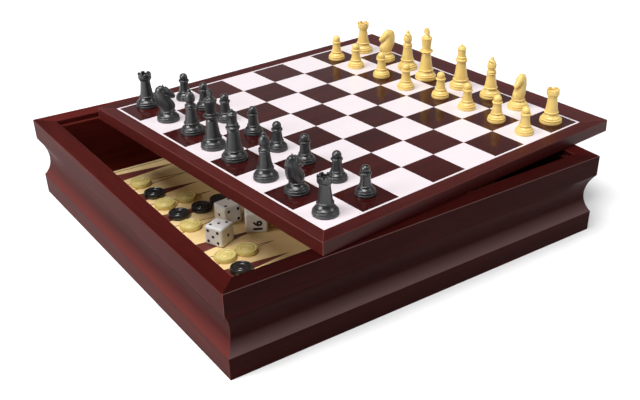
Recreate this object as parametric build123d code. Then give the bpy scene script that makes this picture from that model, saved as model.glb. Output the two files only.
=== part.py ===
"""A games compendium box: a moulded wooden box holding backgammon, with a chessboard lid laid askew on it.

Frame: millimetres, +Z up. The origin is the centre of the box's underside. +X runs along the front rail
and +Y from the front rail to the back rail. The lid carries the chessmen and has a frame of its own:
u along the ranks' direction of play, v across the board, turned LID_YAW about +Z.
"""

import os
from math import atan2, cos, degrees, radians, sin, sqrt

from build123d import *

# ---- the box ----
BOX_W = 380.0  # outer size along X
BOX_D = 370.0  # outer size along Y
BOX_H = 76.0
WALL = 20.0  # thickness of a rail below the lid's seat
RIM = 16.5  # flat top of a rail
SEAT_DEPTH = 5.0  # the seat lies this far below the rim
EDGE_ROUND = 0.8

FILLET_BAND = 19.5  # upright band above the cove
BAND_IN = 0.5  # how far that band leans in by its lower end
COVE_LOW = 19.0  # height of the cove's lower arris
COVE_MID = 36.5  # height of its deepest line
COVE_DEPTH = 7.5
FOOT_IN = 2.0  # the lower band stands back by this at its top
FOOT_IN_LOW = 2.5  # and by this at the floor
ARRIS_ROUND = 0.7  # the cove's two arrises are eased by this

SPLINE_T = 3.0  # loose tongue across each mitre
SPLINE_W = 8.0
SPLINE_FROM_OUTSIDE = 14.5
SPLINE_Z = (8.0, 66.0)

# ---- the box's bottom and the backgammon field ----
PANEL_REBATE = 6.0  # width of the step in the rails that takes the bottom panel
PANEL_Z = (1.0, 6.5)
BAIZE_T = 1.0
FIELD_Z = (6.5, 11.5)
FIT_GAP = 0.2
INLAY_T = 0.6
BORDER_INSET = 4.0  # from the wall to the middle of the inlaid border line
LINE_T = 1.0
POINT_INSET = 5.0  # from the wall to the foot of the points
POINT_LENGTH = 97.0
POINT_GAP = 0.6  # maple left between the feet of neighbouring points
BAR = 15.0
POINTS_PER_HALF = 6

# ---- the lid ----
LID_U = 345.0
LID_V = 335.0
LID_T = 12.0
SQUARE = 38.0
SQUARES = 8
MARGIN_U = (14.0, 27.0)  # lid's edge to the squares, at the two ends
STRING_W = 2.0  # white line round the squares
VENEER = 1.2
JOINT_GAP = 0.08  # between two squares
BORDER_ROUND = 0.8  # round on the border's long outer edges
TONGUE = 5.0
TONGUE_Z = (3.0, 8.0)
LID_YAW = 5.5  # degrees
LID_CORNER = (-107.2, -184.0)  # where the lid's front corner lies on the rims

# ---- loose pieces of backgammon ----
DRAUGHT_D = 19.5
DRAUGHT_T = 4.4
DIE = 18.5
DIE_ROUND = 2.2
PIP_R = 1.5
PIP_DEPTH = 0.5
PIP_SPREAD = 0.27  # share of the die between its middle and a row of pips
CUBE = 20.0
CUBE_ROUND = 1.8

CREAM_DRAUGHTS_IN_VIEW = [
    (-117.9, 121.9), (-117.8, 68.0), (-95.8, 69.0), (-117.3, 17.5), (-98.2, -49.3), (-118.1, -48.2),
]
BLACK_DRAUGHTS_IN_VIEW = [(-116.8, 93.5), (-116.4, 42.4), (-93.5, 42.4), (-116.7, -73.3), (-73.2, 45.1)]
DRAUGHTS_A_SIDE = 15
HIDDEN_COLUMNS = 4
HIDDEN_START = (55.0, -128.0)
HIDDEN_STEP = (29.0, 56.0)
HIDDEN_STRAY = 5.0

DICE = {"die_front": (-108.1, -20.3, 25.5), "die_back": (-83.8, 9.2, 6.0)}
DIE_FACES = {"die_front": (3, 5, 1), "die_back": (2, 1, 4)}  # top, left and front faces
DOUBLING_CUBE_AT = (-69.7, -17.3, -28.5)

# ---- chessmen: the turned outlines above the foot are in each man's own function ----
BAND = 2.2  # upright band at the foot of a man
BAND_EASE = 0.35
SECOND_IN = 0.3  # the second moulding stands back by this
SECOND_TOP = 4.2
THIRD_IN = 1.1  # and the third by this
THIRD_TOP = 6.0
GROOVE = 0.4  # depth and height of the cut between two mouldings

PAWN_R = 8.7
ROOK_R = 10.6
KNIGHT_R = 10.2
BISHOP_R = 10.4
QUEEN_R = 11.2
KING_R = 11.0

ROOK_CROWN_R = 6.1
ROOK_TOP = 32.8
ROOK_WELL = (4.4, 3.2)  # radius and depth of the hollow in its crown
ROOK_SLOT = (2.3, 1.7)  # width and depth of a cut in its battlement
ROOK_SLOTS = 3  # each runs right across, so it makes two gaps

CROSS_Z = (46.2, 53.4)  # foot and top of the king's cross
CROSS_ARM = 3.1  # half its width
CROSS_WAIST = 0.8  # half the width of an arm where the arms meet
CROSS_FLARE = 2.2  # and at its end
CROSS_T = 2.2
CROSS_EASE = 0.25

# The horse looks along +X. Its neck runs through level ellipses: height, centre, half length, half width.
HORSE_NECK = [
    (9.6, 0.0, 6.0, 5.6),
    (13.0, -0.2, 7.3, 5.6),
    (17.0, -1.4, 7.6, 5.3),
    (21.5, -3.2, 6.3, 4.9),
    (26.0, -4.2, 5.3, 4.4),
    (30.0, -4.1, 4.5, 3.5),
    (32.4, -3.8, 2.8, 2.0),
]
# Its head runs through ellipses square to a sloping line: distance along it, half height, half width.
HORSE_HEAD = [
    (0.0, 4.4, 3.9),
    (3.8, 4.1, 3.7),
    (7.6, 3.1, 2.9),
    (10.0, 2.5, 2.4),
    (11.4, 1.8, 1.8),
    (12.1, 0.9, 1.0),
]
HEAD_FROM = (-2.5, 28.8)  # where that line starts, x and z
HEAD_SLOPE = 34.4  # degrees below the horizontal
MANE_T = 2.4
MANE_NICKS = 10
MANE_NICK_R = 0.3

# kind, square (u, v) and how far it stands off the square's centre, then the way it faces, in degrees
BLACK_MEN = {
    "rook_front": ("rook", (0, 0), (-4, -2), -14),
    "knight_front": ("knight", (0, 1), (2, 3), 0),
    "bishop_front": ("bishop", (0, 2), (-2, 1), 0),
    "queen": ("queen", (0, 3), (0, 10), 0),
    "king": ("king", (0, 4), (0, 4), 0),
    "bishop_back": ("bishop", (0, 5), (3, 4), 0),
    "knight_back": ("knight", (0, 6), (2, 5), -34),
    "rook_back": ("rook", (0, 7), (5, 9), -14),
    "pawn_1": ("pawn", (1, 0), (2, 2), 0),
    "pawn_2": ("pawn", (1, 1), (2, -1), 0),
    "pawn_3": ("pawn", (1, 2), (3, 4), 0),
    "pawn_4": ("pawn", (1, 3), (1, 2), 0),
    "pawn_5": ("pawn", (1, 4), (5, 5), 0),
    "pawn_6": ("pawn", (1, 5), (3, 8), 0),
    "pawn_7": ("pawn", (1, 6), (4, 6), 0),
    "pawn_8": ("pawn", (1, 7), (3, 1), 0),
}
CREAM_MEN = {
    "rook_front": ("rook", (7, 0), (1, -2), -14),
    "knight_front": ("knight", (7, 1), (4, 3), 188),
    "bishop_front": ("bishop", (7, 2), (5, 2), 180),
    "queen": ("queen", (7, 3), (1, 1), 180),
    "king": ("king", (7, 4), (-8, 4), 180),
    "bishop_back": ("bishop", (7, 5), (-2, 0), 180),
    "knight_back": ("knight", (7, 6), (-2, -4), 164),
    "rook_back": ("rook", (7, 7), (-2, -5), -14),
    "pawn_1": ("pawn", (6, 0), (0, -3), 0),
    "pawn_2": ("pawn", (6, 1), (2, -5), 0),
    "pawn_3": ("pawn", (6, 2), (3, -4), 0),
    "pawn_4": ("pawn", (6, 3), (5, -4), 0),
    "pawn_5": ("pawn", (6, 4), (-5, -3), 0),
    "pawn_6": ("pawn", (6, 5), (-1, 0), 0),
    "pawn_7": ("pawn", (6, 6), (-3, 0), 0),
    "pawn_8": ("pawn", (6, 7), (-2, -5), 0),
}

PARTS = "parts"


def save(name, solids):
    """Write one piece, or a group of like pieces, to its own STEP file."""
    shape = Compound(children=solids) if isinstance(solids, list) else solids
    shape.label = name
    export_step(shape, os.path.join(PARTS, name + ".step"))


def block(low, high):
    """A rectangular solid between two opposite corners."""
    size = [b - a for a, b in zip(low, high)]
    middle = [(a + b) / 2 for a, b in zip(low, high)]
    return Pos(*middle) * Box(*size)


def prism(points, low, high):
    """A straight-sided solid on a plan outline, between two heights."""
    return extrude(Plane.XY.offset(low) * make_face(Polyline(*points, close=True)), high - low)


# ---------------------------------------------------------------- the box


def rail_section():
    """Section of a rail: distance in from the outer face, and height."""
    outer_top = (0.0, BOX_H)
    upper_arris = (BAND_IN, BOX_H - FILLET_BAND)
    lower_arris = (FOOT_IN, COVE_LOW)
    foot_out = (FOOT_IN_LOW, 0.0)
    foot_in = (WALL - PANEL_REBATE, 0.0)
    rebate = (WALL - PANEL_REBATE, PANEL_Z[1])
    wall_low = (WALL, PANEL_Z[1])
    seat_in = (WALL, BOX_H - SEAT_DEPTH)
    seat_out = (RIM, BOX_H - SEAT_DEPTH)
    rim_in = (RIM, BOX_H)
    cove = ThreePointArc(upper_arris, (COVE_DEPTH, COVE_MID), lower_arris)
    rest = Polyline(lower_arris, foot_out, foot_in, rebate, wall_low, seat_in, seat_out, rim_in)
    face = make_face([Line(outer_top, upper_arris), cove, rest, Line(rim_in, outer_top)])
    arrises = [face.vertices().sort_by_distance((*corner, 0))[0] for corner in (upper_arris, lower_arris)]
    eased = fillet(arrises, ARRIS_ROUND)
    return fillet(eased.vertices().group_by(Axis.Y)[-1], EDGE_ROUND)


def spline_at(corner_x, corner_y):
    """The loose tongue in one mitre, square to the joint's plane."""
    x = corner_x * (BOX_W / 2 - SPLINE_FROM_OUTSIDE)
    y = corner_y * (BOX_D / 2 - SPLINE_FROM_OUTSIDE)
    height = SPLINE_Z[1] - SPLINE_Z[0]
    turn = degrees(atan2(corner_y, corner_x))
    return Pos(x, y, sum(SPLINE_Z) / 2) * Rot(0, 0, turn) * Box(SPLINE_T, SPLINE_W, height)


def rail(side, splines):
    """One mitred rail: its section drawn out along the side, then cut to the mitres."""
    half_w, half_d = BOX_W / 2, BOX_D / 2
    along = {"front": half_w, "back": half_w, "left": half_d, "right": half_d}[side]
    away = {"front": half_d, "back": half_d, "left": half_w, "right": half_w}[side]
    turn = {"front": 0, "right": 90, "back": 180, "left": 270}[side]
    section = Plane((-along, -away, 0), x_dir=(0, 1, 0), z_dir=(1, 0, 0))
    bar = extrude(section * rail_section(), 2 * along)
    plan = [(-along, -away), (along, -away), (along - WALL, WALL - away), (WALL - along, WALL - away)]
    mitred = bar & prism(plan, 0, BOX_H)
    return Rot(0, 0, turn) * mitred - splines


def make_box():
    """Rails, mitre tongues, bottom panel and baize."""
    corners = [(-1, -1), (1, -1), (1, 1), (-1, 1)]
    splines = [spline_at(*corner) for corner in corners]
    for side in ("front", "right", "back", "left"):
        save("rail_" + side, rail(side, splines))
    save("corner_splines", splines)

    half_x = BOX_W / 2 - WALL + PANEL_REBATE - FIT_GAP
    half_y = BOX_D / 2 - WALL + PANEL_REBATE - FIT_GAP
    save("bottom_panel", block((-half_x, -half_y, PANEL_Z[0]), (half_x, half_y, PANEL_Z[1])))
    save("base_baize", block((-half_x, -half_y, PANEL_Z[0] - BAIZE_T), (half_x, half_y, PANEL_Z[0])))


def triangle(foot_x, tip_x, y, half):
    """Plan outline of a point: two corners at its foot and its tip."""
    return [(foot_x, y - half), (tip_x, y), (foot_x, y + half)]


def make_field():
    """The maple board with its inlaid points and border line."""
    half_x = BOX_W / 2 - WALL
    half_y = BOX_D / 2 - WALL
    foot = half_x - POINT_INSET
    pitch = (2 * (half_y - POINT_INSET) - BAR) / (2 * POINTS_PER_HALF)
    inlay = (FIELD_Z[1] - INLAY_T, FIELD_Z[1])
    half = (pitch - POINT_GAP) / 2
    slant = LINE_T / sin(atan2(half, POINT_LENGTH))  # a line's width, measured along the axis
    filled, outlined = [], []
    for number in range(2 * POINTS_PER_HALF):
        beyond_bar = BAR if number >= POINTS_PER_HALF else 0.0
        y = half_y - POINT_INSET - pitch * (number + 0.5) - beyond_bar
        for side in (-1, 1):
            foot_x, tip_x = side * foot, side * (foot - POINT_LENGTH)
            point = prism(triangle(foot_x, tip_x, y, half), *inlay)
            if (number % 2 == 0) == (side < 0):
                filled.append(point)
                continue
            inner_half = half * (1 - slant / POINT_LENGTH)
            hollow = triangle(foot_x, tip_x + side * slant, y, inner_half)
            outlined.append(point - prism(hollow, *inlay))

    def ring(inset):
        return (half_x - inset, half_y - inset)

    x_out, y_out = ring(BORDER_INSET - LINE_T / 2)
    x_in, y_in = ring(BORDER_INSET + LINE_T / 2)
    border = block((-x_out, -y_out, inlay[0]), (x_out, y_out, inlay[1]))
    border -= block((-x_in, -y_in, inlay[0]), (x_in, y_in, inlay[1]))

    x_board, y_board = half_x - FIT_GAP, half_y - FIT_GAP
    board = block((-x_board, -y_board, FIELD_Z[0]), (x_board, y_board, FIELD_Z[1]))
    save("field_board", board - filled - outlined - border)
    save("points_filled", filled)
    save("points_outlined", outlined)
    save("field_border_line", border)


# ---------------------------------------------------------------- the lid


def on_lid(u, v, height=LID_T):
    """A place in the part's frame, for a point of the lid given from its front corner."""
    turn = radians(LID_YAW)
    x = LID_CORNER[0] + u * cos(turn) - v * sin(turn)
    y = LID_CORNER[1] + u * sin(turn) + v * cos(turn)
    return (x, y, BOX_H + height)


def lid_place():
    """Carries the lid's own frame to where it lies on the rims."""
    return Pos(*on_lid(0, 0, 0)) * Rot(0, 0, LID_YAW)


def make_lid():
    """Four border rails round a core, with a veneer of squares and a white line."""
    grid = SQUARE * SQUARES
    margin_v = (LID_V - grid) / 2
    u0, u1 = MARGIN_U[0], MARGIN_U[0] + grid
    v0, v1 = margin_v, margin_v + grid
    place = lid_place()

    u_in, v_in = (u0 - STRING_W, u1 + STRING_W), (v0 - STRING_W, v1 + STRING_W)
    core = block((u_in[0], v_in[0], 0), (u_in[1], v_in[1], LID_T - VENEER))
    core += block(
        (u_in[0] - TONGUE, v_in[0] - TONGUE, TONGUE_Z[0]),
        (u_in[1] + TONGUE, v_in[1] + TONGUE, TONGUE_Z[1]),
    )
    save("lid_core", place * core)

    outer = [(0, 0), (LID_U, 0), (LID_U, LID_V), (0, LID_V)]
    inner = [(u_in[0], v_in[0]), (u_in[1], v_in[0]), (u_in[1], v_in[1]), (u_in[0], v_in[1])]
    for index, side in enumerate(("front", "right", "back", "left")):
        after = (index + 1) % len(outer)
        strip = prism([outer[index], outer[after], inner[after], inner[index]], 0, LID_T)
        outer_side = (Line(outer[index], outer[after]) @ 0.5) + Vector(0, 0, LID_T / 2)
        level_edges = strip.edges().filter_by(Plane.XY).sort_by_distance(outer_side)
        strip = fillet(level_edges[:2], BORDER_ROUND)
        save("lid_border_" + side, place * (strip - core))

    string = prism(inner, LID_T - VENEER, LID_T)
    string -= block((u0, v0, LID_T - VENEER), (u1, v1, LID_T))
    save("lid_white_line", place * string)

    squares = {"light": [], "dark": []}
    for file in range(SQUARES):
        for rank in range(SQUARES):
            low = (u0 + file * SQUARE + JOINT_GAP / 2, v0 + rank * SQUARE + JOINT_GAP / 2, LID_T - VENEER)
            high = (low[0] + SQUARE - JOINT_GAP, low[1] + SQUARE - JOINT_GAP, LID_T)
            shade = "light" if (file + rank) % 2 == 0 else "dark"
            squares[shade].append(place * block(low, high))
    save("light_squares", squares["light"])
    save("dark_squares", squares["dark"])


# ---------------------------------------------------------------- turned work


class Turning:
    """The outline of a turned piece, followed from its foot up: radius and height."""

    def __init__(self):
        self.at = (0.0, 0.0)
        self.edges = []

    def to(self, radius, height):
        """A straight cut to a new radius and height."""
        self.edges.append(Line(self.at, (radius, height)))
        self.at = (radius, height)
        return self

    def curve(self, middle, end):
        """An arc through a middle point: a bead, a cove or a long easy taper."""
        self.edges.append(ThreePointArc(self.at, middle, end))
        self.at = end
        return self

    def bead(self, radius, height):
        """A rounded ring that swells to a radius and comes back, its top at a height."""
        start = self.at
        return self.curve((radius, (start[1] + height) / 2), (start[0], height))

    def dome(self, radius):
        """A ball that rises from where the outline is and ends on the axis."""
        centre = self.at[1] + sqrt(radius**2 - self.at[0]**2)
        return self.curve((radius, centre), (0.0, centre + radius))

    def solid(self):
        """Close the outline on its axis and turn it."""
        top = self.at
        if top[0] > 0:
            self.to(0.0, top[1])
        self.edges.append(Line((0.0, top[1]), (0.0, 0.0)))
        return revolve(Plane.XZ * make_face(self.edges), Axis.Z)


def foot(radius, neck, neck_z):
    """What every man stands on: three stepped mouldings and a hollow shoulder up to the neck."""
    second, third = radius - SECOND_IN, radius - THIRD_IN
    turning = Turning().to(radius - BAND_EASE, 0).to(radius, BAND_EASE).to(radius, BAND - BAND_EASE)
    turning.to(second - GROOVE, BAND).to(second - GROOVE, BAND + GROOVE)
    turning.curve((second, (BAND + GROOVE + SECOND_TOP) / 2), (second - GROOVE, SECOND_TOP))
    turning.to(third - GROOVE, SECOND_TOP + GROOVE / 2)
    turning.curve((third - GROOVE, THIRD_TOP - 0.8), (third - 1.2, THIRD_TOP))
    drop = radius - 1.2 - THIRD_IN - neck
    shoulder = (neck + drop * 0.36, THIRD_TOP + (neck_z - THIRD_TOP) * 0.5)
    return turning.curve(shoulder, (neck, neck_z))


def pawn():
    """A ball on a thick collar."""
    turning = foot(PAWN_R, 4.9, 7.4).bead(5.7, 8.9).to(4.9, 9.0)
    turning.curve((4.3, 13.2), (3.9, 17.4)).to(4.5, 17.7).bead(5.0, 19.6).to(3.2, 19.8)
    return turning.dome(3.9).solid()


def rook():
    """A tapered tower under a bowl with a battlement."""
    turning = foot(ROOK_R, 6.0, 9.3).bead(7.0, 11.0).to(6.1, 11.2)
    turning.curve((5.1, 18.3), (4.4, 25.2)).to(4.9, 25.5).to(4.9, 26.0)
    turning.curve((ROOK_CROWN_R - 0.3, 27.2), (ROOK_CROWN_R, 29.2))
    turning.to(ROOK_CROWN_R, ROOK_TOP - 0.3).to(ROOK_CROWN_R - 0.3, ROOK_TOP)
    tower = turning.solid()
    well_r, well_depth = ROOK_WELL
    slot, slot_depth = ROOK_SLOT
    tower -= Pos(0, 0, ROOK_TOP - well_depth / 2) * Cylinder(well_r, well_depth)
    for number in range(ROOK_SLOTS):
        turned = Rot(0, 0, 180 / ROOK_SLOTS * number)
        tower -= turned * Pos(0, 0, ROOK_TOP) * Box(3 * ROOK_CROWN_R, slot, 2 * slot_depth)
    return tower


def bishop():
    """A mitre with a slanting cut and a knob, over two beads."""
    turning = foot(BISHOP_R, 6.1, 9.1).bead(7.1, 10.8).to(6.1, 11.0)
    turning.curve((5.1, 17.3), (4.3, 23.3)).to(4.5, 23.5).bead(5.0, 25.2).to(4.3, 25.4)
    turning.bead(4.9, 27.2).to(3.5, 27.8).to(3.4, 29.2).curve((4.3, 30.2), (4.5, 32.0))
    turning.curve((3.8, 35.7), (1.6, 38.8))
    head = turning.dome(1.8).solid()
    cut = Pos(2.8, 0, 36.2) * Rot(0, -38, 0) * Box(4.4, 12, 0.9)
    return head - cut


def queen():
    """A round-topped coronet over two flanges."""
    turning = foot(QUEEN_R, 7.0, 7.9).bead(8.1, 9.7).to(7.1, 9.9)
    turning.curve((5.8, 18.0), (4.8, 26.0)).to(4.4, 26.6).to(5.2, 27.2).bead(5.5, 28.2)
    turning.bead(6.1, 30.0).to(4.4, 30.6).to(4.4, 31.2).bead(5.0, 32.8).to(4.1, 33.2)
    turning.curve((4.0, 36.8), (4.2, 40.2)).bead(4.5, 41.3).to(3.9, 41.5)
    return turning.curve((2.9, 42.9), (0.9, 43.4)).dome(1.2).solid()


def cross():
    """A cross with flared arms, across the king's line of sight."""
    foot_z, top_z = CROSS_Z
    outline = Sketch()
    for turn in range(4):
        reach = CROSS_ARM if turn % 2 else (top_z - foot_z) / 2
        half = [(CROSS_WAIST, 0), (CROSS_FLARE, reach)]
        arm = half + [(-x, y) for x, y in reversed(half)]
        outline += Rot(0, 0, 90 * turn) * make_face(Polyline(*arm, close=True))
    solid = extrude(Plane.YZ * outline, CROSS_T / 2, both=True)
    return Pos(0, 0, (foot_z + top_z) / 2) * fillet(solid.edges(), CROSS_EASE)


def king():
    """A tall crown that widens upwards, under a dome and a cross."""
    turning = foot(KING_R, 6.9, 8.7).bead(7.9, 10.5).to(6.9, 10.7)
    turning.curve((5.7, 18.0), (4.7, 25.2)).to(4.2, 26.2).to(4.3, 27.2).to(6.6, 28.9)
    turning.bead(7.0, 30.2).to(4.6, 30.7).bead(4.9, 31.9).to(4.2, 32.1)
    turning.curve((4.8, 37.0), (5.4, 42.3)).bead(5.8, 43.8).to(4.0, 44.1)
    turning.curve((3.6, 45.4), (2.0, 46.0)).to(1.7, 46.9)
    return turning.solid() + cross()


def head_at(along, across, aside=0.0):
    """A place in the horse's head: along its line, square to it and to one side."""
    slope = radians(HEAD_SLOPE)
    x = HEAD_FROM[0] + along * cos(slope) + across * sin(slope)
    z = HEAD_FROM[1] - along * sin(slope) + across * cos(slope)
    return (x, aside, z)


def mane():
    """A thin crest down the back of the neck, nicked along its edge."""
    edge = [(-6.8, 11.6), (-9.4, 16.0), (-10.1, 22.0), (-9.9, 27.4), (-8.0, 31.4), (-4.0, 33.2)]
    inside = [(-2.0, 31.0), (-4.5, 22.0), (-4.0, 11.2)]
    outline = [Spline(*edge), Polyline(edge[-1], *inside, edge[0])]
    crest = extrude(Plane.XZ * make_face(outline), MANE_T / 2, both=True)
    outer = Spline(*edge)
    for number in range(1, MANE_NICKS):
        middle = outer @ (number / MANE_NICKS)
        crest -= Pos(middle.X, 0, middle.Y) * Rot(90, 0, 0) * Cylinder(MANE_NICK_R, 2 * MANE_T)
    return crest


def knight():
    """A horse's head and neck that rise from a ring."""
    base = foot(KNIGHT_R, 5.6, 8.2).bead(6.6, 9.8).to(5.6, 9.9).solid()
    neck = loft([Pos(x, 0, z) * Ellipse(length, width) for z, x, length, width in HORSE_NECK])
    slope = radians(HEAD_SLOPE)
    line = Vector(cos(slope), 0, -sin(slope))
    sections = []
    for along, height, width in HORSE_HEAD:
        square_to_line = Plane(head_at(along, 0), x_dir=(0, 1, 0), z_dir=line)
        sections.append(square_to_line * Ellipse(width, height))
    horse = base + neck + loft(sections) + mane()
    for side in (-1, 1):
        horse += Pos(*head_at(3.2, 2.2, 2.8 * side)) * Sphere(0.8)
        horse += Pos(-2.2, 1.5 * side, 32.4) * Rot(-8 * side, -12, 0) * Cone(1.1, 0.35, 2.8)
        horse -= Pos(*head_at(10.3, 0.6, 2.4 * side)) * Sphere(0.6)
    mouth = Pos(*head_at(10.5, -0.9)) * Rot(0, HEAD_SLOPE, 0) * Box(4.0, 6.0, 0.4)
    return horse - mouth


MEN = {"pawn": pawn, "rook": rook, "knight": knight, "bishop": bishop, "queen": queen, "king": king}


def make_men():
    """Every man on the square it stands on, turned the way it faces."""
    shapes = {kind: build() for kind, build in MEN.items()}
    margin_v = (LID_V - SQUARE * SQUARES) / 2
    for colour, men in (("black", BLACK_MEN), ("cream", CREAM_MEN)):
        for name, (kind, square, off_centre, facing) in men.items():
            u = MARGIN_U[0] + SQUARE * (square[0] + 0.5) + off_centre[0]
            v = margin_v + SQUARE * (square[1] + 0.5) + off_centre[1]
            place = Pos(*on_lid(u, v)) * Rot(0, 0, LID_YAW + facing)
            save(f"{colour}_{name}", place * shapes[kind])


# ---------------------------------------------------------------- backgammon pieces


def draught():
    """A turned disc with rings on both faces."""
    r, t = DRAUGHT_D / 2, DRAUGHT_T
    dish, groove = 0.5, 0.35
    rings = [(r - 1.3, t), (r - 1.8, t - dish), (r - 3.6, t - dish), (r - 4.0, t - dish + groove)]
    rings += [(r - 4.8, t - dish + groove), (r - 5.2, t - dish), (r - 6.6, t - dish)]
    rings += [(r - 7.0, t - dish + groove), (0.0, t - dish + groove)]
    upper = [(r - 0.6, t)] + rings
    lower = [(radius, t - height) for radius, height in upper]
    outline = Turning()
    outline.at = lower[-1]
    for radius, height in reversed(lower[:-1]):
        outline.to(radius, height)
    outline.curve((r, t / 2), upper[0])
    for radius, height in upper[1:]:
        outline.to(radius, height)
    outline.edges.append(Line(upper[-1], lower[-1]))
    return revolve(Plane.XZ * make_face(outline.edges), Axis.Z)


def make_draughts():
    """Two sets of draughts: some in view at the open end, the rest under the lid."""
    disc = draught()
    sets = {"cream_draughts": list(CREAM_DRAUGHTS_IN_VIEW), "black_draughts": list(BLACK_DRAUGHTS_IN_VIEW)}
    number = 0
    while any(len(places) < DRAUGHTS_A_SIDE for places in sets.values()):
        column, row = number % HIDDEN_COLUMNS, number // HIDDEN_COLUMNS
        x = HIDDEN_START[0] + HIDDEN_STEP[0] * column + HIDDEN_STRAY * sin(2.4 * number)
        y = HIDDEN_START[1] + HIDDEN_STEP[1] * row + HIDDEN_STRAY * cos(3.7 * number)
        shorter = min(sets, key=lambda name: len(sets[name]))
        sets[shorter].append((x, y))
        number += 1
    for name, places in sets.items():
        save(name, [Pos(x, y, FIELD_Z[1]) * disc for x, y in places])


def pips(count, spread):
    """Where a face's pips lie, in the face's own plane."""
    layouts = {
        1: [(0, 0)],
        2: [(-1, -1), (1, 1)],
        3: [(-1, 1), (0, 0), (1, -1)],
        4: [(-1, -1), (-1, 1), (1, -1), (1, 1)],
        5: [(-1, -1), (-1, 1), (1, -1), (1, 1), (0, 0)],
        6: [(-1, -1), (-1, 0), (-1, 1), (1, -1), (1, 0), (1, 1)],
    }
    return [(spread * a, spread * b) for a, b in layouts[count]]


def die(top, left, front):
    """A rounded cube with hollowed pips; opposite faces add up to seven."""
    cube = fillet(Box(DIE, DIE, DIE).edges(), DIE_ROUND)
    spread = DIE * PIP_SPREAD
    ball_r = (PIP_R**2 + PIP_DEPTH**2) / (2 * PIP_DEPTH)
    lift = DIE / 2 + ball_r - PIP_DEPTH
    faces = {
        (0, 0, 0): top, (180, 0, 0): 7 - top,
        (90, 0, 0): front, (-90, 0, 0): 7 - front,
        (0, -90, 0): left, (0, 90, 0): 7 - left,
    }
    for turn, count in faces.items():
        for a, b in pips(count, spread):
            cube -= Rot(*turn) * Pos(a, b, lift) * Sphere(ball_r)
    return cube


def make_dice():
    """Two dice and the doubling cube, standing on the field."""
    for name, (x, y, turn) in DICE.items():
        place = Pos(x, y, FIELD_Z[1] + DIE / 2) * Rot(0, 0, turn)
        save(name, place * die(*DIE_FACES[name]))
    x, y, turn = DOUBLING_CUBE_AT
    cube = fillet(Box(CUBE, CUBE, CUBE).edges(), CUBE_ROUND)
    save("doubling_cube", Pos(x, y, FIELD_Z[1] + CUBE / 2) * Rot(0, 0, turn) * cube)


os.makedirs(PARTS, exist_ok=True)
make_box()
make_field()
make_lid()
make_men()
make_draughts()
make_dice()
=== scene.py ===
"""Looks of the games compendium box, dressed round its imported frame. Metres, +Z up, front rail towards -Y."""

import math

import bmesh
import bpy
from mathutils import Matrix, Vector


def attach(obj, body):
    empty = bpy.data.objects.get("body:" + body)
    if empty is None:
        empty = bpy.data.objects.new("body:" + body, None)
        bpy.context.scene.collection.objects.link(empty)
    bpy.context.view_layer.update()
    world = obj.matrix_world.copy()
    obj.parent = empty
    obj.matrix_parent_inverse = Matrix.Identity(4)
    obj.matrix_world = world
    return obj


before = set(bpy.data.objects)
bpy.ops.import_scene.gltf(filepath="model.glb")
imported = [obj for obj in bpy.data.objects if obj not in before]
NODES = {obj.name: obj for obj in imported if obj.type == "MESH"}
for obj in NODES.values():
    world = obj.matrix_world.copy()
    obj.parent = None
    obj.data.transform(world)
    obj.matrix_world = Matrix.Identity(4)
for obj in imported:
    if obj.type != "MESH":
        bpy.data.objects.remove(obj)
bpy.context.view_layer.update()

MM = 0.001
QUARTER = math.pi / 2
LID_YAW = math.radians(5.5)
BOX_HALF = (0.190, 0.185)  # half the box's length and depth

# ---- colours of timber: deep, body and lit ----
CHERRY = [(0.026, 0.0030, 0.0028), (0.056, 0.0062, 0.0052), (0.088, 0.0110, 0.0085)]
MAPLE = [(0.82, 0.56, 0.245), (0.93, 0.69, 0.33), (0.95, 0.76, 0.44)]
RED_BROWN = [(0.07, 0.011, 0.009), (0.14, 0.026, 0.020), (0.20, 0.045, 0.035)]
BEECH = [(0.45, 0.30, 0.17), (0.56, 0.40, 0.25), (0.64, 0.47, 0.31)]
DARK_VENEER = [(0.016, 0.0022, 0.0021), (0.034, 0.0044, 0.0038), (0.054, 0.008, 0.007)]
WHITE_VENEER = [(0.685, 0.612, 0.637), (0.71, 0.64, 0.667), (0.73, 0.66, 0.69)]
# painted highlight along the cherry's arrises
CHERRY_ARRIS_HIGHLIGHT = (0.24, 0.075, 0.062)
# painted sheen where mouldings face part way up: grey on the front rail, red on the others
GREY_PAINTED_SHEEN = (0.110, 0.066, 0.063)
RED_PAINTED_SHEEN = (0.102, 0.023, 0.020)

# ---- colours of moulded pieces: low and high ----
CREAM = [(0.66, 0.45, 0.125), (0.83, 0.62, 0.20)]
# painted highlight along the cream men's edges
CREAM_EDGE_HIGHLIGHT = (0.86, 0.70, 0.34)
BLACK = [(0.005, 0.0055, 0.006), (0.012, 0.0125, 0.014)]
# painted highlight along the black men's edges
BLACK_EDGE_HIGHLIGHT = (0.30, 0.30, 0.31)
PALE_CREAM = [(0.72, 0.57, 0.18), (0.87, 0.75, 0.30)]
# painted highlight along the draughts' edges
PALE_CREAM_EDGE_HIGHLIGHT = (0.93, 0.86, 0.50)
IVORY = [(0.88, 0.87, 0.87), (0.94, 0.93, 0.93)]
BAIZE = [(0.010, 0.035, 0.018), (0.016, 0.055, 0.028)]
INK = [(0.006, 0.006, 0.007), (0.012, 0.012, 0.013)]

# ---- timber's patterns: repeats in a metre, along the grain and then across it, both ways ----
FIBRE = (26, 420, 420)
FIGURE = (3.2, 34, 34)
BROAD = (1.0, 4.0, 4.0)
PORES = (60, 1500, 1500)

# ---- surfaces ----
TURNING_MARKS = (300, 300, 2600)  # repeats in a metre, closest up the turned pieces
TIMBER_ARRIS = 0.0006  # how far from an edge the painted highlight reaches
RESIN_ARRIS = 0.0004
ARRIS_GAIN = 4.0  # how strongly the painted highlight shows on edges
GRAIN_DEPTH = 0.00003
MITRE_HALF = 0.0012  # half the strip along a mitre that stays without the painted edge highlight
PAINTED_SHEEN_BY_RISE = [(0.15, 0.0), (0.40, 0.55), (0.60, 1.0), (0.90, 0.0)]  # the normal's rise, share of painted sheen
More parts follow.
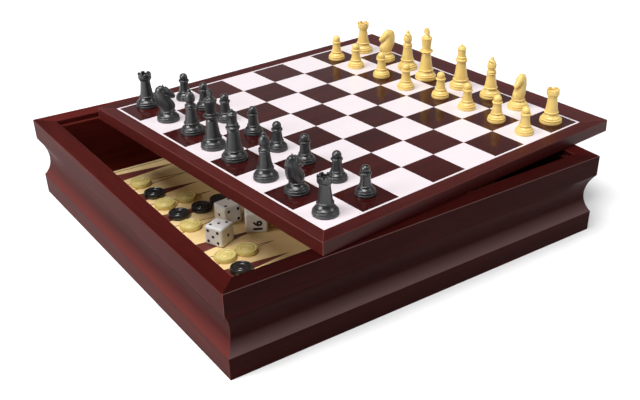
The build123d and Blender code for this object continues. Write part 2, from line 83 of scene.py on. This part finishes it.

# ---- loose pieces that get paint or numbers, in millimetres and degrees ----
FIELD_TOP = 11.5
DIE = 18.5
PIP_R = 1.5
PIP_DEPTH = 0.5
PIP_SPREAD = 0.27  # share of the die between its middle and a row of pips
PIP_SIDES = 28
PIP_RINGS = (0.25, 0.5, 0.75, 0.93, 0.985)  # shares of the pip's radius
PIP_ROOT = 0.9  # share of the pip's radius at the bottom of the paint
PAINT = 0.035  # how far the paint stands off the hollow
SUNK = 0.12  # how far the paint reaches into the die under the hollow
PIPS = {
    1: [(0, 0)],
    2: [(-1, -1), (1, 1)],
    3: [(-1, 1), (0, 0), (1, -1)],
    4: [(-1, -1), (-1, 1), (1, -1), (1, 1)],
    5: [(-1, -1), (-1, 1), (1, -1), (1, 1), (0, 0)],
    6: [(-1, -1), (-1, 0), (-1, 1), (1, -1), (1, 0), (1, 1)],
}
DICE = {  # x, y and turn, then the pips on top, on the left and in front
    "die_front": ((-108.1, -20.3, 25.5), (3, 5, 1)),
    "die_back": ((-83.8, 9.2, 6.0), (2, 1, 4)),
}
CUBE = 20.0
CUBE_AT = (-69.7, -17.3, -28.5)
CUBE_NUMBERS = [  # top, bottom, front, back, left, right: number, quarter turns, place on the face
    ("64", 0, (0, 0)),
    ("2", 0, (0, 0)),
    ("16", 1, (0.8, -2.2)),
    ("4", 0, (0, 0)),
    ("32", 1, (0, 0)),
    ("8", 1, (0, 0)),
]
NUMBER_HIGH = 8.6
NUMBER_WIDE = {1: 5.4, 2: 9.5}  # by how many digits it has
NUMBER_THICK = 0.12  # half of it sunk in the cube
NUMBER_WEIGHT = 0.045  # how much the strokes are thickened, before the number is fitted

# ---- camera ----
CAMERA_AT = (-0.43270, -0.68885, 0.44110)
HEADING = math.radians(39.087)  # clockwise from +Y
PITCH = math.radians(-27.909)
ROLL = math.radians(1.510)
FOCAL_PX = 959.1
PICTURE_W = 640.0
AXIS_PX = 414.83  # where the lens axis meets the picture
SENSOR = 36.0

# ---- studio ----
FLOOR_HALF = 9.0
FLOOR_GREY = [(0.3, 0.85), (0.7, 0.87)]  # by how strong the speckle is
# The sky's colour, by how far the direction points up.
SKY_BY_RISE = [(0.36, (0.38, 0.38, 0.39)), (0.50, (0.03, 0.03, 0.033)), (0.80, (0.28, 0.28, 0.28))]
AIM = (0, 0, 0.05)
KEY = ((-1.85, 0.25, 0.95), (1.3, 0.8), 31)  # place, size, watts
FILL = ((1.0, -0.85, 1.25), (0.6, 0.6), 5)
SUN_FROM = (-0.30, -0.05, 1.0)
SUN_ENERGY = 3.25
SUN_ANGLE = math.radians(36)

# ---------------------------------------------------------------- shader building


class Shader:
    """Builds the nodes of one material or of the world."""

    def __init__(self, owner):
        self.owner = owner
        owner.use_nodes = True
        self.tree = owner.node_tree
        self.tree.nodes.clear()

    def add(self, kind, inputs=(), **settings):
        node = self.tree.nodes.new("ShaderNode" + kind)
        for key, value in settings.items():
            setattr(node, key, value)
        for socket, value in dict(inputs).items():
            self.put(node.inputs[socket], value)
        return node

    def put(self, socket, value):
        if isinstance(value, bpy.types.NodeSocket):
            self.tree.links.new(value, socket)
        else:
            socket.default_value = value

    def place(self, turn=0.0, stretch=(1, 1, 1)):
        """Object coordinates turned about Z, then stretched."""
        coordinates = self.add("TexCoord").outputs["Object"]
        turned = self.add("Mapping", {"Vector": coordinates, "Rotation": (0, 0, -turn)}, vector_type="POINT")
        return self.add("Mapping", {"Vector": turned.outputs[0], "Scale": stretch}).outputs[0]

    def noise(self, vector, scale=1.0, detail=4.0, roughness=0.55, distortion=0.0):
        inputs = {"Vector": vector, "Scale": scale, "Detail": detail}
        inputs |= {"Roughness": roughness, "Distortion": distortion}
        return self.add("TexNoise", inputs).outputs["Fac"]

    def ramp(self, fac, *stops):
        """Stops are (position, colour) or (position, grey)."""
        node = self.add("ValToRGB", {"Fac": fac})
        points = node.color_ramp.elements
        while len(points) < len(stops):
            points.new(0.5)
        for point, (position, colour) in zip(points, stops):
            point.position = position
            point.color = (*colour, 1) if isinstance(colour, tuple) else (colour, colour, colour, 1)
        return node.outputs["Color"]

    def mix(self, fac, a, b):
        node = self.add("Mix", data_type="RGBA", blend_type="MIX")
        for socket, value in ((node.inputs[0], fac), (node.inputs[6], a), (node.inputs[7], b)):
            self.put(socket, (*value, 1) if isinstance(value, tuple) else value)
        return node.outputs[2]

    def math(self, how, a, b=0.0, c=0.0):
        node = self.add("Math", operation=how)
        for socket, value in zip(node.inputs, (a, b, c)):
            self.put(socket, value)
        return node.outputs[0]

    def rise(self, vector):
        """How far a direction points up, from -1 to 1."""
        return self.add("SeparateXYZ", {0: vector}).outputs[2]

    def edge_highlight_mask(self, radius):
        """Where the painted edge highlight goes: 0 on flat stretches, and more the sharper the edge."""
        round_normal = self.add("Bevel", {"Radius": radius}, samples=6).outputs[0]
        flat_normal = self.add("NewGeometry").outputs["Normal"]
        both = {0: round_normal, 1: flat_normal}
        alike = self.add("VectorMath", both, operation="DOT_PRODUCT").outputs["Value"]
        return self.math("MULTIPLY", self.math("SUBTRACT", 1.0, alike), ARRIS_GAIN)

    def bump(self, height, strength):
        inputs = {"Height": height, "Distance": GRAIN_DEPTH, "Strength": strength}
        return self.add("Bump", inputs).outputs[0]

    def end(self, surface, output):
        self.tree.links.new(surface.outputs[0], self.add(output).inputs[0])
        return self.owner

    def finish(self, colour, roughness, **fixed):
        """The Principled shader; what is the same all over stays on its own sockets."""
        inputs = {"Base Color": colour, "Roughness": roughness}
        inputs |= {name.replace("_", " "): value for name, value in fixed.items()}
        return self.end(self.add("BsdfPrincipled", inputs), "OutputMaterial")


# ---------------------------------------------------------------- finishes


def wood(name, turn, colours, gloss, pore=0.35, coat=0.6, specular=0.5, edge=None, mitred=False, painted_sheen=None):
    """Stained or plain timber whose grain runs along the turned X axis.

    gloss is its least roughness, and pore how dark its pores are. The edge colour is a painted highlight along
    arrises, which a mitred board lacks along its mitres, and the sheen colour a painted sheen on mouldings that
    face part way up.
    """
    deep, body, lit = colours
    s = Shader(bpy.data.materials.new(name))
    broad = s.place(turn, BROAD)
    bands = s.noise(s.place(turn, FIGURE), detail=5.0, roughness=0.6, distortion=0.9)
    fine = s.noise(s.place(turn, FIBRE), detail=3.0, roughness=0.6)
    patch = s.noise(broad, scale=2.2, detail=2.0)
    colour = s.ramp(bands, (0.25, deep), (0.5, body), (0.78, lit))
    colour = s.mix(s.ramp(fine, (0.42, 0.0), (0.75, 0.55)), colour, deep)
    colour = s.mix(s.ramp(patch, (0.3, 0.0), (0.7, 0.35)), colour, lit)
    pores = s.noise(s.place(turn, PORES), detail=2.0, roughness=0.5)
    between = s.ramp(pores, (0.30, 0.0), (0.42, 1.0))
    colour = s.mix(s.math("MULTIPLY", s.math("SUBTRACT", 1.0, between), pore), colour, deep)
    # painted sheen: a paler colour where the surface faces part way up
    if painted_sheen:
        facing = s.rise(s.add("NewGeometry").outputs["Normal"])
        colour = s.mix(s.ramp(facing, *PAINTED_SHEEN_BY_RISE), colour, painted_sheen)
    # painted highlight along sharp edges, broken up by noise
    if edge:
        uneven = s.ramp(s.noise(broad, scale=60.0), (0.35, 0.3), (0.65, 1.0))
        painted_edge_highlight = s.math("MULTIPLY", s.edge_highlight_mask(TIMBER_ARRIS), uneven)
        if mitred:
            painted_edge_highlight = s.math("MULTIPLY", painted_edge_highlight, off_the_mitre(s))
        colour = s.mix(painted_edge_highlight, colour, edge)
    roughness = s.math("MULTIPLY_ADD", fine, 0.12, gloss)
    normal = s.bump(s.math("MULTIPLY_ADD", fine, 0.4, between), 0.35)
    fixed = {"Coat_Weight": coat, "Coat_Roughness": 0.08, "Specular_IOR_Level": specular}
    return s.finish(colour, roughness, Normal=normal, **fixed)


def off_the_mitre(s):
    """0 along the glued mitres, where no painted edge highlight goes, and 1 elsewhere."""
    split = s.add("SeparateXYZ", {0: s.add("TexCoord").outputs["Object"]})
    from_end = s.math("SUBTRACT", BOX_HALF[0], s.math("ABSOLUTE", split.outputs[0]))
    from_side = s.math("SUBTRACT", BOX_HALF[1], s.math("ABSOLUTE", split.outputs[1]))
    away = s.math("ABSOLUTE", s.math("SUBTRACT", from_end, from_side))
    on_corner = s.math("LESS_THAN", from_end, MITRE_HALF)
    return s.math("MAXIMUM", s.math("GREATER_THAN", away, MITRE_HALF), on_corner)


def resin(name, colours, gloss, mottled=0.5, coat=0.2, specular=0.5, edge=None):
    """Moulded or turned pieces in one colour with faint mottling, handling marks in the roughness and, given an
    edge colour, a painted highlight along edges.
    """
    low, high = colours
    s = Shader(bpy.data.materials.new(name))
    here = s.place()
    cloud = s.noise(here, scale=140.0)
    turned = s.noise(s.place(0, TURNING_MARKS), detail=2.0)
    colour = s.mix(s.ramp(cloud, (0.3, 0.0), (0.7, mottled)), low, high)
    colour = s.mix(s.ramp(turned, (0.45, 0.0), (0.8, 0.25)), colour, low)
    smear = s.noise(here, scale=420.0, detail=3.0)
    # painted highlight along sharp edges
    if edge:
        painted_edge_highlight = s.math("MULTIPLY", s.edge_highlight_mask(RESIN_ARRIS), s.ramp(smear, (0.3, 0.55), (0.7, 1.0)))
        colour = s.mix(painted_edge_highlight, colour, edge)
    roughness = s.math("MULTIPLY_ADD", smear, 0.18, gloss)
    normal = s.bump(s.math("ADD", turned, s.noise(here, scale=1900.0, detail=3.0)), 0.3)
    fixed = {"Coat_Weight": coat, "Coat_Roughness": 0.15, "Specular_IOR_Level": specular}
    return s.finish(colour, roughness, Normal=normal, **fixed)


def cherry(name, turn, painted_light_scale, specular, painted_sheen, mitred=False):
    """Red-brown stained cherry under a thin polish; its scale makes the whole colour lighter or darker as
    painted light and shade on that board.
    """
    colours = [tuple(painted_light_scale * part for part in colour) for colour in CHERRY]
    fixed = {"edge": CHERRY_ARRIS_HIGHLIGHT, "mitred": mitred, "painted_sheen": painted_sheen}
    return wood(name, turn, colours, gloss=0.32, coat=0.0, specular=specular, **fixed)


def dress(material, *names):
    for name in names:
        slots = NODES[name].data.materials
        slots.clear()
        slots.append(material)


def dress_frame():
    """A finish for every node of the frame."""
    # Lit and shaded copies of one cherry: each scale paints light or shade into the whole board, the front rail
    # darkest as painted shade and the back rail lightest as painted light inside the well.
    front = cherry("cherry_front", 0.0, painted_light_scale=0.38, specular=0.03, painted_sheen=GREY_PAINTED_SHEEN, mitred=True)
    back = cherry("cherry_back", 0.0, painted_light_scale=1.30, specular=0.02, painted_sheen=RED_PAINTED_SHEEN, mitred=True)
    side = cherry("cherry_along_y", QUARTER, painted_light_scale=0.78, specular=0.02, painted_sheen=RED_PAINTED_SHEEN, mitred=True)
    lid_u = cherry("cherry_lid_u", LID_YAW, painted_light_scale=0.74, specular=0.14, painted_sheen=RED_PAINTED_SHEEN)
    lid_v = cherry("cherry_lid_v", LID_YAW + QUARTER, painted_light_scale=0.95, specular=0.24, painted_sheen=RED_PAINTED_SHEEN)
    maple = wood("maple_field", 0.0, MAPLE, gloss=0.35, pore=0.12, coat=0.2)
    inlay = wood("inlay_red_brown", 0.0, RED_BROWN, gloss=0.35)
    beech = wood("beech", 0.0, BEECH, gloss=0.5, pore=0.3, coat=0.0)
    dark = wood("veneer_dark", LID_YAW, DARK_VENEER, gloss=0.08, coat=0.0, specular=0.2)
    white = wood("veneer_white", LID_YAW, WHITE_VENEER, gloss=0.15, pore=0.05, coat=0.3)
    cream = resin("cream_men", CREAM, gloss=0.30, edge=CREAM_EDGE_HIGHLIGHT)
    black = resin("black_men", BLACK, gloss=0.26, coat=0.45, specular=0.6, edge=BLACK_EDGE_HIGHLIGHT)
    pale_cream = resin("cream_draughts", PALE_CREAM, gloss=0.25, coat=0.3, edge=PALE_CREAM_EDGE_HIGHLIGHT)
    ivory = resin("white_plastic", IVORY, gloss=0.12, mottled=0.4, coat=0.5)
    dress(front, "rail_front")
    dress(back, "rail_back")
    dress(side, "rail_left", "rail_right")
    dress(lid_u, "lid_border_front", "lid_border_back")
    dress(lid_v, "lid_border_left", "lid_border_right")
    dress(maple, "field_board")
    dress(inlay, "points_filled", "points_outlined", "field_border_line")
    dress(beech, "corner_splines", "lid_core", "bottom_panel")
    dress(dark, "dark_squares")
    dress(white, "light_squares", "lid_white_line")
    dress(cream, *[name for name in NODES if name.startswith("cream_")])
    dress(black, *[name for name in NODES if name.startswith("black_")])
    dress(pale_cream, "cream_draughts")
    dress(ivory, "die_front", "die_back", "doubling_cube")
    dress(resin("baize", BAIZE, gloss=0.85, coat=0.0), "base_baize")


# ---------------------------------------------------------------- pips and numbers


def link(name, data):
    thing = bpy.data.objects.new(name, data)
    bpy.context.scene.collection.objects.link(thing)
    return thing


def new_piece(name, build, body, material, smooth):
    """Turns what was built into a piece of its own that rides on a body."""
    mesh = bpy.data.meshes.new(name)
    build.to_mesh(mesh)
    build.free()
    piece = link(name, mesh)
    mesh.materials.append(material)
    mesh.polygons.foreach_set("use_smooth", [smooth] * len(mesh.polygons))
    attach(piece, body)


def face_turns():
    """Turns that carry the top of a cube to its top, bottom, front, back, left and right."""
    quarters = ((0, "X"), (2, "X"), (1, "X"), (-1, "X"), (-1, "Y"), (1, "Y"))
    return [Matrix.Rotation(count * QUARTER, 4, axis) for count, axis in quarters]


def standing(x, y, turn, size):
    """Millimetres round the middle of a cube on the field, to metres in the frame."""
    at = Matrix.Translation((x * MM, y * MM, (FIELD_TOP + size / 2) * MM))
    return at @ Matrix.Rotation(math.radians(turn), 4, "Z") @ Matrix.Scale(MM, 4)


def add_pip(build, place):
    """A lens of paint lying in one hollow, its lower side sunk in the die."""
    ball = (PIP_R**2 + PIP_DEPTH**2) / (2 * PIP_DEPTH)
    lift = DIE / 2 + ball - PIP_DEPTH
    profile = []
    for share in PIP_RINGS:
        radius = share * PIP_R
        profile.append((radius, lift - math.sqrt(ball**2 - radius**2) + PAINT))
    profile.append((PIP_ROOT * PIP_R, DIE / 2 - PIP_DEPTH - SUNK))
    turns = [2 * math.pi * n / PIP_SIDES for n in range(PIP_SIDES)]
    rings = []
    for radius, height in profile:
        ring = [Vector((radius * math.cos(t), radius * math.sin(t), height)) for t in turns]
        rings.append([build.verts.new(place @ point) for point in ring])
    centre = build.verts.new(place @ Vector((0, 0, DIE / 2 - PIP_DEPTH + PAINT)))
    for n in range(PIP_SIDES):
        after = (n + 1) % PIP_SIDES
        build.faces.new((centre, rings[0][n], rings[0][after]))
        for inner, outer in zip(rings, rings[1:]):
            build.faces.new((inner[n], outer[n], outer[after], inner[after]))
    build.faces.new(list(reversed(rings[-1])))


def paint_pips(ink):
    """Paint in every pip; opposite faces add up to seven."""
    spread = DIE * PIP_SPREAD
    for name, (at, (top, left, front)) in DICE.items():
        build = bmesh.new()
        whole = standing(*at, DIE)
        counts = (top, 7 - top, front, 7 - front, left, 7 - left)
        for turn, count in zip(face_turns(), counts):
            for a, b in PIPS[count]:
                add_pip(build, whole @ turn @ Matrix.Translation((a * spread, b * spread, 0)))
        bmesh.ops.recalc_face_normals(build, faces=build.faces)
        new_piece(name + "_pips", build, name, ink, True)


def numeral_mesh(text):
    """The outline of a number, a little raised, fitted to a box round the origin."""
    curve = bpy.data.curves.new("numeral_" + text, "FONT")
    curve.body = text
    curve.extrude = 0.5
    curve.offset = NUMBER_WEIGHT
    curve.resolution_u = 4
    holder = bpy.data.objects.new("numeral_" + text, curve)
    mesh = bpy.data.meshes.new_from_object(holder)
    bpy.data.objects.remove(holder)
    xs, ys = [v.co.x for v in mesh.vertices], [v.co.y for v in mesh.vertices]
    left, low = min(xs), min(ys)
    across, up = max(xs) - left, max(ys) - low
    for v in mesh.vertices:
        v.co.x = ((v.co.x - left) / across - 0.5) * NUMBER_WIDE[len(text)]
        v.co.y = ((v.co.y - low) / up - 0.5) * NUMBER_HIGH
        v.co.z *= NUMBER_THICK
    return mesh


def number_cube(ink):
    """Powers of two on the doubling cube, some lying on their side."""
    build = bmesh.new()
    for turn, (text, quarters, (across, up)) in zip(face_turns(), CUBE_NUMBERS):
        mesh = numeral_mesh(text)
        upright = Matrix.Rotation(quarters * QUARTER, 4, "Z")
        proud = Matrix.Translation((across, up, CUBE / 2))
        mesh.transform(standing(*CUBE_AT, CUBE) @ turn @ proud @ upright)
        build.from_mesh(mesh)
        bpy.data.meshes.remove(mesh)
    new_piece("doubling_cube_numbers", build, "doubling_cube", ink, False)


# ---------------------------------------------------------------- studio


def make_floor():
    """A plain pale floor."""
    mesh = bpy.data.meshes.new("floor")
    floor = link("floor", mesh)
    corners = ((-1, -1), (1, -1), (1, 1), (-1, 1))
    mesh.from_pydata([(x * FLOOR_HALF, y * FLOOR_HALF, 0) for x, y in corners], [], [(0, 1, 2, 3)])
    s = Shader(bpy.data.materials.new("pale_floor"))
    speck = s.noise(s.place(), scale=30.0, detail=3.0)
    mesh.materials.append(s.finish(s.ramp(speck, *FLOOR_GREY), 0.7))


def make_sky():
    """Pale at the horizon and overhead, with a dark band between them."""
    world = bpy.data.worlds.new("studio")
    bpy.context.scene.world = world
    s = Shader(world)
    up = s.rise(s.add("TexCoord").outputs["Generated"])
    s.end(s.add("Background", {0: s.ramp(up, *SKY_BY_RISE), 1: 1.0}), "OutputWorld")


def area_light(name, at, size, power):
    data = bpy.data.lights.new(name, "AREA")
    data.shape = "RECTANGLE"
    data.size, data.size_y = size
    data.energy = power
    light = link(name, data)
    light.location = at
    light.rotation_euler = (Vector(AIM) - Vector(at)).to_track_quat("-Z", "Y").to_euler()


def make_lights():
    area_light("key", *KEY)
    sun = bpy.data.lights.new("overhead", "SUN")
    sun.energy = SUN_ENERGY
    sun.angle = SUN_ANGLE
    link("overhead", sun).rotation_euler = Vector(SUN_FROM).to_track_quat("Z", "Y").to_euler()
    area_light("fill", *FILL)


def make_camera():
    data = bpy.data.cameras.new("camera")
    camera = link("camera", data)
    look = Matrix.Rotation(-HEADING, 4, "Z") @ Matrix.Rotation(QUARTER + PITCH, 4, "X")
    camera.matrix_world = Matrix.Translation(CAMERA_AT) @ look @ Matrix.Rotation(ROLL, 4, "Z")
    data.sensor_fit = "HORIZONTAL"
    data.sensor_width = SENSOR
    data.lens = FOCAL_PX / PICTURE_W * SENSOR
    data.shift_x = -(AXIS_PX - PICTURE_W / 2) / PICTURE_W
    bpy.context.scene.camera = camera
    bpy.context.scene.view_settings.view_transform = "Standard"


dress_frame()
ink = resin("black_ink", INK, gloss=0.4, coat=0.0)
paint_pips(ink)
number_cube(ink)
make_floor()
make_sky()
make_lights()
make_camera()
